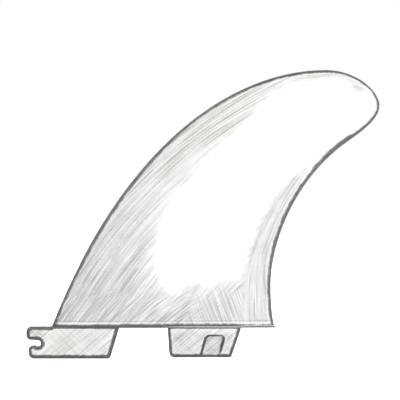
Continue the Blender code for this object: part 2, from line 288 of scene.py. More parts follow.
def half_sections(span, chord_row):
    """Half sections of the blade as a grid of points, one row for each span share s.

    A point is nose(s) + u (tail(s) - nose(s)), with u = (1 - cos(pi v)) / 2, lifted across the blade by the
    foil's half thickness there, 5 t (a sqrt(u) - b u - c u^2 + d u^3 - e u^4). The thickness t runs evenly
    from root to tip and closes with a quarter sine over the rounded tip. The tail is rounded by a circle.
    Near the board the section grows along its normals by FLARE_WIDTH (1 - z / FLARE_HEIGHT)^FLARE_POWER.
    """
    nose = at_shares(LEADING, span)[:, None, :]
    tail = at_shares(TRAILING, span)[:, None, :]
    chord = np.linalg.norm(tail - nose, axis=-1)
    edge = np.minimum(TRAILING_EDGE / 2, chord / 4)
    u = np.broadcast_to((1.0 - np.cos(math.pi * chord_row)) / 2, (len(span), len(chord_row)))
    thickness = TIP_THICKNESS + (ROOT_THICKNESS - TIP_THICKNESS) * (1.0 - span[:, None])
    to_tip = np.minimum((1.0 - span[:, None]) * LEADING_LENGTH / TIP_ROUNDING, 1.0)
    thickness = thickness * np.sin(to_tip * math.pi / 2)
    a, b, c, d, e = FOIL
    half = 5.0 * thickness * (a * np.sqrt(u) - b * u - c * u**2 + d * u**3 - e * u**4) + edge * u
    to_end = np.minimum((1.0 - u) * chord / edge, 1.0)
    half = half * np.sqrt(1.0 - (1.0 - to_end) ** 2)
    half[:, 0] = 0.0

    flat = nose + u[..., None] * (tail - nose)
    x, z = flat[..., 0], flat[..., 1]
    along = np.gradient(x, axis=1)
    across = np.gradient(half, axis=1)
    along[:, 0] = 0.0
    size = np.hypot(along, across)
    spread = FLARE_WIDTH * np.clip(1.0 - z / FLARE_HEIGHT, 0.0, 1.0) ** FLARE_POWER
    y = half + spread * along / size
    y[:, [0, -1]] = 0.0
    return np.stack((x - spread * across / size, y, z), axis=-1)


def grid_faces(rows, columns):
    """Corner numbers of the quads between the points of a grid, whose last column joins its first."""
    row = np.arange(rows - 1)[:, None] * columns
    column = np.arange(columns)[None, :]
    after = (column + 1) % columns
    corners = (row + column, row + after, row + columns + after, row + columns + column)
    return np.stack(corners, axis=-1).reshape(-1, 4)


def surface(name, points, face_groups):
    """New object from an array of points and groups of faces; each group is an array of corner numbers."""
    corners = np.concatenate([group.ravel() for group in face_groups])
    counts = np.concatenate([np.full(len(group), group.shape[1]) for group in face_groups])
    mesh = bpy.data.meshes.new(name)
    mesh.vertices.add(len(points))
    mesh.vertices.foreach_set("co", np.asarray(points, np.float32).ravel())
    mesh.loops.add(len(corners))
    mesh.loops.foreach_set("vertex_index", corners.astype(np.int32))
    mesh.polygons.add(len(counts))
    mesh.polygons.foreach_set("loop_start", (np.cumsum(counts) - counts).astype(np.int32))
    mesh.update(calc_edges=True)
    piece = bpy.data.objects.new(name, mesh)
    bpy.context.scene.collection.objects.link(piece)
    return piece


def blade():
    """Blade: half sections on both sides, a ruled underside between them, and a closed tip."""
    left = half_sections(span_shares(), np.linspace(0.0, 1.0, CHORD_ROWS))
    right = left[:, -2:0:-1] * (1.0, -1.0, 1.0)
    ring = np.concatenate((left, right), axis=1)
    rows, columns = ring.shape[:2]
    sides = grid_faces(rows, columns)[:, ::-1]

    # A fan joins the tip's point to the last ring
    tip = np.array(((HIGH.x, 0.0, HIGH.z - TIP_DROP),))
    tip_number = rows * columns
    last = (rows - 1) * columns + np.arange(columns)
    tip_fan = np.stack((last, np.full(columns, tip_number), np.roll(last, -1)), axis=-1)

    # Across the underside, y runs evenly from the left side to the right
    share = np.linspace(1.0, -1.0, UNDERSIDE_COLUMNS + 2)[None, 1:-1, None]
    same = np.ones_like(share)
    middle = left[0, 1:-1, None, :] * np.concatenate((same, share, same), axis=-1)
    inner = tip_number + 1 + np.arange(len(middle) * UNDERSIDE_COLUMNS).reshape(-1, UNDERSIDE_COLUMNS)
    left_row = np.arange(1, CHORD_ROWS - 1)[:, None]
    strip = np.concatenate((left_row, inner, columns - left_row), axis=1)
    underside = np.stack((strip[:-1, :-1], strip[1:, :-1], strip[1:, 1:], strip[:-1, 1:]), axis=-1)
    nose = np.zeros(strip.shape[1] - 1, int)
    nose_fan = np.stack((nose, strip[0, :-1], strip[0, 1:]), axis=-1)
    tail_fan = np.stack((nose + CHORD_ROWS - 1, strip[-1, 1:], strip[-1, :-1]), axis=-1)

    points = np.concatenate((ring.reshape(-1, 3), tip, middle.reshape(-1, 3)))
    return surface("blade", points, (sides, underside.reshape(-1, 4), nose_fan, tail_fan, tip_fan))


def rounded_outline(corners):
    """Closed line of points (x, z) through corners (x, z, radius).

    There is an arc at each corner, and points every half millimetre between.
    """
    places = np.array([corner[:2] for corner in corners])
    before = np.roll(places, 1, axis=0) - places
    after = np.roll(places, -1, axis=0) - places
    before /= np.linalg.norm(before, axis=1)[:, None]
    after /= np.linalg.norm(after, axis=1)[:, None]
    arcs = []
    for place, back, on, (_, _, radius) in zip(places, before, after, corners):
        half_angle = math.acos(np.clip(back @ on, -1.0, 1.0)) / 2
        middle = (back + on) / np.linalg.norm(back + on)
        centre = place + middle * radius / math.sin(half_angle)
        first = place + back * radius / math.tan(half_angle) - centre
        last = place + on * radius / math.tan(half_angle) - centre
        turn = math.atan2(first[0] * last[1] - first[1] * last[0], first @ last)
        angle = np.linspace(0.0, turn, max(2, round(abs(turn) / ARC_STEP) + 1))[:, None]
        arcs.append(centre + first * np.cos(angle) + np.array((-first[1], first[0])) * np.sin(angle))
    clearances = [0.0 if corner[2] else SHARP_CORNER_CLEARANCE for corner in corners]
    line = []
    for k, arc in enumerate(arcs):
        following = (k + 1) % len(arcs)
        gap = arcs[following][0] - arc[-1]
        length = np.linalg.norm(gap)
        count = max(1, round(length / TAB_STEP))
        share = np.arange(1, count) / count
        share = share[(share * length > clearances[k]) & ((1.0 - share) * length > clearances[following])]
        line += [arc, arc[-1] + gap * share[:, None]]
    line = np.concatenate(line)
    apart = np.linalg.norm(line - np.roll(line, 1, axis=0), axis=1)
    return line[apart > SAME_POINT]


def outward(outline):
    """Directions out of a closed line, as long as a mitre needs: both sides of a corner move out by one."""
    along = np.roll(outline, -1, axis=0) - outline
    along /= np.linalg.norm(along, axis=1)[:, None]
    x, z = outline.T
    turning = np.sum(x * np.roll(z, -1) - np.roll(x, -1) * z)
    after = np.stack((along[:, 1], -along[:, 0]), axis=-1) * np.sign(turning)
    before = np.roll(after, 1, axis=0)
    return (before + after) / (1.0 + np.sum(before * after, axis=1))[:, None]


def inside(points, outline):
    """Whether each point lies in a closed line: a ray from it crosses the line an odd number of times."""
    ax, az = outline.T
    bx, bz = np.roll(outline, -1, axis=0).T
    blocks = []
    for block in np.array_split(points, max(1, len(points) // BLOCK)):
        x, z = block[:, 0, None], block[:, 1, None]
        crosses = (az > z) != (bz > z)
        with np.errstate(divide="ignore", invalid="ignore"):
            reach = ax + (z - az) * (bx - ax) / (bz - az)
        blocks.append(np.sum(crosses & (x < reach), axis=1) % 2 == 1)
    return np.concatenate(blocks)


def nearest(points, targets):
    """Distance d from each point p to the nearest of the targets q, by d^2 = p^2 + q^2 - 2 p.q."""
    blocks = []
    for block in np.array_split(points, max(1, len(points) // BLOCK)):
        squared = (block**2).sum(1)[:, None] + (targets**2).sum(1)[None, :] - 2.0 * block @ targets.T
        blocks.append(np.sqrt(np.clip(squared.min(axis=1), 0.0, None)))
    return np.concatenate(blocks)


def flat_cap(outline):
    """Triangles over a closed line with a square grid of points in it; the line's own come first."""
    low, high = outline.min(axis=0) + TAB_STEP / 2, outline.max(axis=0) - TAB_STEP / 4
    x, z = np.meshgrid(np.arange(low[0], high[0], TAB_STEP), np.arange(low[1], high[1], TAB_STEP))
    filling = np.stack((x.ravel(), z.ravel()), axis=-1)
    filling = filling[inside(filling, outline)]
    filling = filling[nearest(filling, outline) > CAP_CLEARANCE]
    count = len(outline)
    border = [(k, (k + 1) % count) for k in range(count)]
    places = [Vector(place) for place in np.concatenate((outline, filling)) / MM]
    only_inside, tolerance = 1, 1e-6
    result = delaunay_2d_cdt(places, border, [tuple(range(count))], only_inside, tolerance)
    return np.array(result[0]) * MM, np.array(result[2])


def points_of(mesh):
    """The mesh's points as an array."""
    points = np.empty(len(mesh.vertices) * 3, np.float32)
    mesh.vertices.foreach_get("co", points)
    return points.reshape(-1, 3).astype(float)


def face_outwards(piece):
    """Turn a closed mesh right side out, by the sign of the volume that its faces enclose."""
    mesh = piece.data
    mesh.calc_loop_triangles()
    corners = np.empty(len(mesh.loop_triangles) * 3, np.int32)
    mesh.loop_triangles.foreach_get("vertices", corners)
    a, b, c = points_of(mesh)[corners.reshape(-1, 3)].transpose(1, 0, 2)
    if np.sum(a * np.cross(b, c)) < 0.0:
        mesh.flip_normals()


def closed_plate(name, rings, far_depth, near_depth):
    """Solid from a stack of rings with equal numbers of points, capped at both ends.

    The caps' depths are functions of (x, z), so that a cap may be a ramp.
    """
    rows, columns = rings.shape[:2]
    far_points, far_faces = flat_cap(rings[0][:, [0, 2]])
    near_points, near_faces = flat_cap(rings[-1][:, [0, 2]])

    def cap_points(flat, depth):
        """The cap's filling as points in space; its border is the ring itself."""
        filling = flat[columns:]
        return np.stack((filling[:, 0], depth(filling[:, 0], filling[:, 1]), filling[:, 1]), axis=-1)

    def cap_faces(faces, ring_first, filling_first):
        """The cap's faces, numbered as the ring's points and then the filling's."""
        return np.where(faces < columns, ring_first + faces, filling_first + faces - columns)

    far = cap_points(far_points, far_depth)
    near = cap_points(near_points, near_depth)
    far_first = rows * columns
    groups = (
        grid_faces(rows, columns),
        cap_faces(far_faces, 0, far_first)[:, ::-1],
        cap_faces(near_faces, (rows - 1) * columns, far_first + len(far)),
    )
    piece = surface(name, np.concatenate((rings.reshape(-1, 3), far, near)), groups)
    face_outwards(piece)
    return piece


def tab_rings(outline):
    """Rings across a tab: the outline drawn in by r (1 - sin a) at y = half - r (1 - cos a), mirrored."""
    angle = np.linspace(0.0, math.pi / 2, TAB_ROUNDING_ROWS + 1)
    inset = TAB_EDGE_ROUNDING * (1.0 - np.sin(angle))
    y = TAB_THICKNESS / 2 - TAB_EDGE_ROUNDING * (1.0 - np.cos(angle))
    middle = np.linspace(y[-1], -y[-1], TAB_RIM_ROWS)[1:-1]
    inset = np.concatenate((inset, np.zeros(len(middle)), inset[::-1]))
    y = np.concatenate((y, middle, -y[::-1]))
    flat = outline[None] - outward(outline)[None] * inset[:, None, None]
    return np.stack((flat[..., 0], np.broadcast_to(y[:, None], flat.shape[:2]), flat[..., 1]), axis=-1)


def tab(name, outline):
    """Flat tab with rounded edges, both faces filled with an even grid."""
    half = TAB_THICKNESS / 2
    return closed_plate(
        name, tab_rings(outline), lambda x, z: np.full_like(x, half), lambda x, z: np.full_like(x, -half),
    )


def front_tab_outline():
    """Outline of the front tab, whose forward end is a hook: a finger, a slot with a seat, and a jaw."""
    rear = -TAB_GAP / 2
    front = LOW.x
    slot_end = front + HOOK_SLOT_LENGTH
    seat_top = -HOOK_FINGER - HOOK_FINGER_TAPER
    seat_floor = seat_top - PIN_SEAT_HEIGHT
    seat_radius = PIN_SEAT_ROUNDNESS * PIN_SEAT_HEIGHT
    seat_front = slot_end - PIN_SEAT_LENGTH
    lip_height = seat_floor + PIN_SEAT_DIP
    jaw_front = front + HOOK_JAW_SETBACK
    return rounded_outline([
        (rear, FRONT_SHOULDER, 0.0),
        (front, FRONT_SHOULDER, HOOK_NOSE_RADIUS),
        (front, -HOOK_FINGER, HOOK_NOSE_RADIUS),
        (slot_end, seat_top, seat_radius),
        (slot_end, seat_floor, seat_radius),
        (seat_front, seat_floor, PIN_SEAT_FOOT_RADIUS),
        (seat_front - PIN_SEAT_RAMP, lip_height, HOOK_LIP_RADIUS),
        (jaw_front, lip_height, HOOK_NOSE_RADIUS),
        (jaw_front, LOW.z, HOOK_JAW_RADIUS),
        (rear - FRONT_TAB_TAPER, LOW.z, TAB_CORNER_RADIUS),
    ])


def rear_tab_outline():
    """Outline of the rear tab, tapered at both ends."""
    front = TAB_GAP / 2
    rear = front + REAR_TAB_LENGTH
    return rounded_outline([
        (front, REAR_SHOULDER, 0.0),
        (front + REAR_TAB_LEAD_TAPER, -REAR_TAB_DEPTH, REAR_TAB_LEAD_RADIUS),
        (rear - REAR_TAB_REAR_TAPER, -REAR_TAB_DEPTH, TAB_CORNER_RADIUS),
        (rear, REAR_SHOULDER, TAB_CORNER_RADIUS),
    ])


def pocket_rise(z):
    """How far up the pocket a height lies, from 0 at its mouth to 1 at its top."""
    return (z + REAR_TAB_DEPTH) / (REAR_TAB_DEPTH - POCKET_HEADROOM)


def pocket_front_wall(z):
    """Place of the pocket's front wall, which leans back as it rises."""
    return TAB_GAP / 2 + POCKET_SETBACK - POCKET_WIDTH / 2 + POCKET_LEAN * pocket_rise(z)


def pocket_depth(z):
    """Depth of the pocket's floor, a ramp from the mouth to the top."""
    return POCKET_MOUTH_DEPTH + (POCKET_TOP_DEPTH - POCKET_MOUTH_DEPTH) * pocket_rise(z)


def pocket_outline():
    """Outline of the pocket on the tab's face, carried on a little below the tab."""
    foot = -REAR_TAB_DEPTH - POCKET_OVERRUN
    top = -POCKET_HEADROOM
    return rounded_outline([
        (pocket_front_wall(foot), foot, 0.0),
        (pocket_front_wall(foot) + POCKET_WIDTH, foot, 0.0),
        (pocket_front_wall(top) + POCKET_WIDTH, top, POCKET_REAR_RADIUS),
        (pocket_front_wall(top), top, POCKET_FRONT_RADIUS),
    ])


def pocket_cutter(name, side):
    """Solid that leaves one pocket: the outline carried in from above the tab's face to the ramped floor.

    It starts wider by the rim's rounding and ends narrower by the floor's, both quarter circles. On the way
    its rear wall slopes in by the draft.
    """
    outline = pocket_outline()
    out = outward(outline)
    rim_angle = np.linspace(POCKET_RIM_START, math.pi / 2, POCKET_RIM_ROWS)
    rim_grow = POCKET_RIM_ROUNDING * (1.0 - np.sin(rim_angle))
    rim_sink = POCKET_RIM_ROUNDING * (1.0 - np.cos(rim_angle))
    floor_angle = np.linspace(0.0, math.pi / 2, POCKET_FLOOR_ROWS)
    floor_shrink = POCKET_FLOOR_ROUNDING * (1.0 - np.cos(floor_angle))
    floor_left = POCKET_FLOOR_ROUNDING * (1.0 - np.sin(floor_angle))

    depth = pocket_depth(outline[:, 1])
    rim_sink = np.concatenate(((-POCKET_MOUTH_DEPTH,), rim_sink))
    rim_sink = np.repeat(rim_sink[:, None], len(outline), 1)
    sink = np.concatenate((rim_sink, depth[None] - floor_left[:, None]))
    grow = np.concatenate((rim_grow[:1], rim_grow, -floor_shrink))
    flat = outline[None] + out[None] * grow[:, None, None]
    across = (flat[..., 0] - pocket_front_wall(flat[..., 1])) / POCKET_WIDTH
    x = flat[..., 0] - POCKET_REAR_DRAFT * across * np.clip(sink / depth, 0.0, 1.0)
    y = side * (TAB_THICKNESS / 2 - sink)
    return closed_plate(
        name, np.stack((x, y, flat[..., 1]), axis=-1),
        lambda px, pz: np.full_like(px, side * (TAB_THICKNESS / 2 + POCKET_MOUTH_DEPTH)),
        lambda px, pz: side * (TAB_THICKNESS / 2 - pocket_depth(pz)),
    )


def combine(target, operand, operation):
    """Join or cut with another piece, which is used up."""
    modifier = target.modifiers.new(operation.lower(), "BOOLEAN")
    modifier.operation = operation
    modifier.solver = "EXACT"
    modifier.object = operand
    graph = bpy.context.evaluated_depsgraph_get()
    result = bpy.data.meshes.new_from_object(target.evaluated_get(graph))
    target.modifiers.clear()
    target.data = result
    bpy.data.objects.remove(operand)


def place_on_blade(points):
    """Each point's shares of the chord u and of the span s, on the straight lines that join the two edges.

    s is found by halving: a point lies above or below the line from nose(s) to tail(s).
    """
    low = np.zeros(len(points))
    high = np.ones(len(points))
    flat = points[:, [0, 2]]
    for _ in range(HALVINGS):
        middle = (low + high) / 2
        nose, tail = at_shares(LEADING, middle), at_shares(TRAILING, middle)
        reach, rise = tail - nose, flat - nose
        above = reach[:, 0] * rise[:, 1] - reach[:, 1] * rise[:, 0] > 0.0
        low = np.where(above, middle, low)
        high = np.where(above, high, middle)
    shortest_chord = 0.1 * MM
    size = np.maximum((reach**2).sum(axis=1), shortest_chord**2)
    return np.clip((rise * reach).sum(axis=1) / size, 0.0, 1.0), middle


def blade_band(points, u, s):
    """The smaller of the distance from the outline, seen from the side, over the band's width at the
    point's u and s, and the height above the board over the band's width at the foot."""
    width = np.where(u < 0.5, np.interp(s, *LEADING_BAND), np.interp(s, *TRAILING_BAND)) * MM
    foot_width = np.interp(points[:, 0] / MM, *FOOT_BAND) * MM
    from_outline = nearest(points[:, [0, 2]], np.concatenate((LEADING, TRAILING)))
    return np.minimum(from_outline / width, points[:, 2] / foot_width)


def in_space(outline, y):
    """A line of points (x, z) as points in space."""
    return np.stack((outline[:, 0], np.broadcast_to(y, len(outline)), outline[:, 1]), axis=-1)


def pocket_band(points):
    """Distance from the pocket's rim or the foot of its wall, over the pocket's band of painted shade, which
    is narrow at the top and dies out along the rear wall towards the mouth."""
    height = points[:, 2]
    outline = pocket_outline()
    outline = outline[outline[:, 1] > -REAR_TAB_DEPTH]
    face = TAB_THICKNESS / 2
    lines = np.concatenate((in_space(outline, face), in_space(outline, face - pocket_depth(outline[:, 1]))))
    width = np.where(height > -POCKET_HEADROOM - POCKET_BAND, POCKET_TOP_BAND, POCKET_BAND)
    behind = points[:, 0] > pocket_front_wall(height) + POCKET_WIDTH / 2
    left_of_it = np.interp(height + REAR_TAB_DEPTH, *POCKET_BAND_FADE)
    return nearest(points, lines) / (width * np.where(behind, left_of_it, 1.0))


def tab_band(points):
    """The smallest of the depth below the board over the corner's band, the distances in space from the
    tabs' rims over their bands, and the pocket's share."""
    shares = [-points[:, 2] / CORNER_BAND, pocket_band(points)]
    inset = TAB_EDGE_ROUNDING * (1.0 - math.sqrt(0.5))
    for outline, width in ((front_tab_outline(), FRONT_TAB_BAND), (rear_tab_outline(), REAR_TAB_BAND)):
        rim = in_space(outline - outward(outline) * inset, TAB_THICKNESS / 2 - inset)
        rim = rim[(rim[:, 0] < FOOT_X) | (rim[:, 2] < 0.0)]
        shares.append(nearest(points, rim) / width)
    return np.min(shares, axis=0)


def edge_band(points, u, s):
    """How far in from the nearest edge each point lies, as a share of the width there of the dark band of
    painted shade.

    On the underside it is the distance from the foot's rim, over the front tab's band. The fin's sides
    are alike, so a point is measured as if it lay on the left.
    """
    points = np.stack((points[:, 0], np.abs(points[:, 1]), points[:, 2]), axis=-1)
    height = points[:, 2]
    foot_rim = half_sections(np.zeros(1), np.linspace(0.0, 1.0, 4 * CHORD_ROWS))[0]
    shares = (blade_band(points, u, s), nearest(points, foot_rim) / FRONT_TAB_BAND)
    return np.select((height > SAME_LEVEL, height > -SAME_LEVEL), shares, tab_band(points))


def shade_depth(points):
    """Distance of each point from the border of the white middle, a painted highlight, in millimetres,
    negative inside it.
    """
    border = rounded_outline(np.array(WHITE_MIDDLE) * MM)
    flat = points[:, [0, 2]]
    return nearest(flat, border) * np.where(inside(flat, border), -1.0, 1.0) / MM


def add_attribute(mesh, name, kind, field, values):
    """Store one value for each point under a name that materials can read."""
    attribute = mesh.attributes.new(name, kind, "POINT")
    attribute.data.foreach_set(field, np.asarray(values, np.float32).ravel())


def fin():
    """The whole fin as one closed mesh, with what the nylon's pattern needs at each point."""
    rear_tab = tab("rear_tab", rear_tab_outline())
    for side in (1.0, -1.0):
        combine(rear_tab, pocket_cutter("pocket", side), "DIFFERENCE")
    piece = blade()
    piece.name = "moulded_fin"
    combine(piece, tab("front_tab", front_tab_outline()), "UNION")
    combine(piece, rear_tab, "UNION")
    mesh = piece.data
    mesh.name = "moulded_fin"
    points = points_of(mesh)
    u, s = place_on_blade(points)
    blade_place = np.stack((u, s, np.sign(points[:, 1])), axis=-1)
    add_attribute(mesh, "blade_place", "FLOAT_VECTOR", "vector", blade_place)
    add_attribute(mesh, "edge_band", "FLOAT", "value", edge_band(points, u, s))
    add_attribute(mesh, "shade_depth", "FLOAT", "value", shade_depth(points))
    mesh.shade_smooth()
    mesh.set_sharp_from_angle(angle=CREASE_ANGLE)
    return piece


def linear(hex_colour):
    """An sRGB colour such as "d8d8d5" as linear red, green, blue and alpha."""
    shares = [int(hex_colour[k:k + 2], 16) / 255.0 for k in (0, 2, 4)]
    return [c / 12.92 if c <= 0.04045 else ((c + 0.055) / 1.055) ** 2.4 for c in shares] + [1.0]


def add_node(tree, kind, inputs, **settings):
    """Add a shader node, set its properties, and give its inputs values or links.

    Inputs come in their own order or by name or number. A node stands for its own first output.
    """
    node = tree.nodes.new("ShaderNode" + kind)
    for name, value in settings.items():
        setattr(node, name, value)
    for key, value in inputs.items() if isinstance(inputs, dict) else enumerate(inputs):
        if isinstance(value, bpy.types.Node):
            value = value.outputs[0]
        if isinstance(value, bpy.types.NodeSocket):
            tree.links.new(value, node.inputs[key])
        else:
            node.inputs[key].default_value = value
    return node


def new_material(name):
    """Empty material, and the function that adds nodes to it."""
    material = bpy.data.materials.new(name)
    material.use_nodes = True
    material.node_tree.nodes.clear()
    return material, functools.partial(add_node, material.node_tree)


def place_on_fin(add):
    """What the pattern knows of a place: x, y and z, its shares of the chord and span, its side, how far
    it is in the dark band and outside the white middle, and the noises that several parts use."""
    blade_place = add("Attribute", (), attribute_name="blade_place").outputs["Vector"]
    chord, span, side = add("SeparateXYZ", (blade_place,)).outputs
    position = add("TexCoord", ()).outputs["Object"]
    rearward, leftward, height = add("SeparateXYZ", (position,)).outputs
    return types.SimpleNamespace(
        position=position, rearward=rearward, leftward=leftward, height=height,
        chord=chord, span=span, side=side,
        edge=add("Attribute", (), attribute_name="edge_band").outputs["Fac"],
        depth=add("Attribute", (), attribute_name="shade_depth").outputs["Fac"],
        on_tabs=add("Math", (height, -SAME_LEVEL), operation="LESS_THAN"),
        in_nose=add("MapRange", (rearward, -46 * MM, -49 * MM)),
        clouds=add("TexNoise", {"Vector": position, "Scale": 1 / CLOUD_WIDTH, "Detail": 3.0}),
        grain=add("TexNoise", {"Vector": position, "Scale": 1 / GRAIN_WIDTH, "Detail": 1.0}),
    )


def round_a_centre(add, here, centre):
    """Distances across and along circles about a centre: the radius, and the angle times CIRCLE_RADIUS."""
    away = add("VectorMath", (here.position, centre), operation="SUBTRACT")
    flat = add("VectorMath", (away, (1.0, 0.0, 1.0)), operation="MULTIPLY")
    radius = add("VectorMath", (flat,), operation="LENGTH").outputs["Value"]
    x, _, z = add("SeparateXYZ", (flat,)).outputs
    angle = add("Math", (z, x), operation="ARCTAN2")
    return radius, add("Math", (angle, CIRCLE_RADIUS), operation="MULTIPLY")


def straight_on(add, here, degrees):
    """Distances across and along a straight flow at an angle to the board: products with two directions."""
    x, z = heading(degrees)
    across = add("VectorMath", (here.position, (-z, 0.0, x)), operation="DOT_PRODUCT")
    along = add("VectorMath", (here.position, (x, 0.0, z)), operation="DOT_PRODUCT")
    return across.outputs["Value"], along.outputs["Value"]


def fibre_lines(add, here, across, along):
    """Lines of fibres in the skin, from about -1 where they are pale to 1 where dark, mostly near 0.

    Across and along are a place's distances across and along the flow, in metres. The noise's coordinates
    are these over the lines' width and length, and the side of the fin. Only its extremes make fine lines;
    the same noise four times as coarse adds faint broad streaks.
    """
    place = add("CombineXYZ", (across, along, here.side))
    scale = (1 / LINE_WIDTH, 1 / LINE_LENGTH, SIDE_STEP)
    drawn = add("VectorMath", (place, scale), operation="MULTIPLY")
    fine = add("TexNoise", {"Vector": drawn, "Scale": 1.0, "Detail": 0.3})
    broad = add("TexNoise", {"Vector": drawn, "Scale": 0.25, "Detail": 1.0})
    dark = add("MapRange", (fine, *DARK_LINES), interpolation_type="SMOOTHSTEP")
    pale = add("MapRange", (fine, *PALE_LINES, 0.0, 0.7), interpolation_type="SMOOTHSTEP")
    lines = add("Math", (dark, pale), operation="SUBTRACT")
    faint = add("MapRange", (broad, *NOISE_RANGE, -0.2, 0.2))
    return add("Math", (lines, faint), operation="ADD")


def blade_lines(add, here):
    """Lines on circles up the blade, on others over the root, straight over the heel, and along the edges
    behind and round the tip. They give way to each other a little raggedly."""
    front_lines = fibre_lines(add, here, *round_a_centre(add, here, SWEEP_CENTRE))
    root_lines = fibre_lines(add, here, *round_a_centre(add, here, ROOT_CENTRE))
    heel_lines = fibre_lines(add, here, *straight_on(add, here, HEEL_FLOW))
    behind = add("Math", (here.chord, BLADE_CHORD), operation="MULTIPLY")
    upward = add("Math", (here.span, float(LEADING_LENGTH)), operation="MULTIPLY")
    rear_lines = fibre_lines(add, here, behind, upward)

    ragged = add("MapRange", (here.clouds, *NOISE_RANGE, -5 * MM, 5 * MM))
    rearward = add("Math", (here.rearward, ragged), operation="ADD")
    height = add("Math", (here.height, ragged), operation="ADD")
    at_heel = add("MapRange", (rearward, 20 * MM, 29 * MM))
    at_root = add("MapRange", (height, 20 * MM, 12 * MM))
    at_trailing_edge = add("MapRange", (here.chord, 0.85, 0.88))
    at_tip = add("MapRange", (here.span, 0.72, 0.82))
    at_rear = add("Math", (at_trailing_edge, at_tip), operation="MAXIMUM")
    lines = add("Mix", {0: at_heel, 2: root_lines, 3: heel_lines})
    lines = add("Mix", {0: at_root, 2: front_lines, 3: lines})
    return add("Mix", {0: at_rear, 2: lines, 3: rear_lines})


def blade_grey(add, here, lines):
    """Share of grey on the blade, painted shade around the white middle's painted highlight, and how
    strongly its lines show.

    The grey comes in at a soft border and grows from BORDER_GREY to DEEPEST_GREY like
    1 - e^(-depth / GREY_DEPTH), where the depth counts for 8 mm at most behind. It rises towards the
    board, most in front, and by 0.1 behind, above the heel. The lines are strongest near the board and
    high up.
    """
    wander = add("MapRange", (here.clouds, *NOISE_RANGE, -1.0, 1.0))
    depth = add("Math", (here.depth, wander), operation="ADD")
    raggedness = add("MapRange", (here.height, 18 * MM, 26 * MM, 0.5, 0.25))
    depth = add("Math", (lines, raggedness, depth), operation="MULTIPLY_ADD")
    border = add("MapRange", (depth, -0.6, 2.4), interpolation_type="SMOOTHSTEP")
    deepest = add("MapRange", (here.rearward, 25 * MM, 45 * MM, 60.0, 8.0))
    depth = add("Math", (depth, deepest), operation="MINIMUM")
    fading = add("Math", (depth, -1 / GREY_DEPTH), operation="MULTIPLY")
    fading = add("Math", (fading,), operation="EXPONENT")
    grey = add("MapRange", (fading, 0.0, 1.0, DEEPEST_GREY, BORDER_GREY))
    # Painted shade: greyer towards the board and in front, and behind above the heel
    low = add("MapRange", (here.height, 13 * MM, 3 * MM, 0.0, 0.07))
    forward = add("MapRange", (here.rearward, -40 * MM, 50 * MM, 1.45, 0.2))
    grey = add("Math", (low, forward, grey), operation="MULTIPLY_ADD")
    above_heel = add("MapRange", (here.height, 15 * MM, 35 * MM))
    behind_middle = add("MapRange", (here.rearward, 25 * MM, 45 * MM, 0.0, 0.10))
    grey = add("Math", (above_heel, behind_middle, grey), operation="MULTIPLY_ADD")
    grey = add("Math", (grey, border), operation="MULTIPLY")

    strongest = add("MapRange", (here.height, 10 * MM, 45 * MM, 0.46, 0.31))
    stronger_high = add("MapRange", (here.height, 62 * MM, 82 * MM, 0.0, 0.14))
    strongest = add("Math", (strongest, stronger_high), operation="ADD")
    return grey, add("MapRange", (depth, 0.0, 3.0, 0.0, strongest))


def tab_lines(add, here):
    """Crossing lines: the tabs filled first, from both ends."""
    rising, falling = (fibre_lines(add, here, *straight_on(add, here, angle)) for angle in TAB_FLOW)
    return add("Math", (falling, 0.5, rising), operation="MULTIPLY_ADD")


def tab_grey(add, here):
    """Share of grey on the tabs. The rear one is greyer, but pale along its top. The hook's finger is
    greyer too, and the floors of the pockets, 0.8 mm and more below the tab's face, carry painted shade."""
    half_thickness = add("Math", (here.leftward,), operation="ABSOLUTE")
    # Painted shade on the pockets' floors
    pocket_shade = add("MapRange", (half_thickness, 2.6 * MM, 2.4 * MM, 0.0, 0.18))
    grey = add("MapRange", (here.rearward, -5 * MM, 5 * MM, 0.36, 0.50))
    grey = add("Math", (grey, pocket_shade), operation="ADD")
    finger = add("MapRange", (here.height, -8.5 * MM, -6.0 * MM, 0.0, FINGER_GREY))
    grey = add("Math", (here.in_nose, finger, grey), operation="MULTIPLY_ADD")
    top = add("MapRange", (here.rearward, -5 * MM, 5 * MM, 0.9, 0.55))
    below_top = add("MapRange", (here.height, -1.2 * MM, -3.4 * MM, top, 1.0))
    return add("Math", (grey, below_top), operation="MULTIPLY")


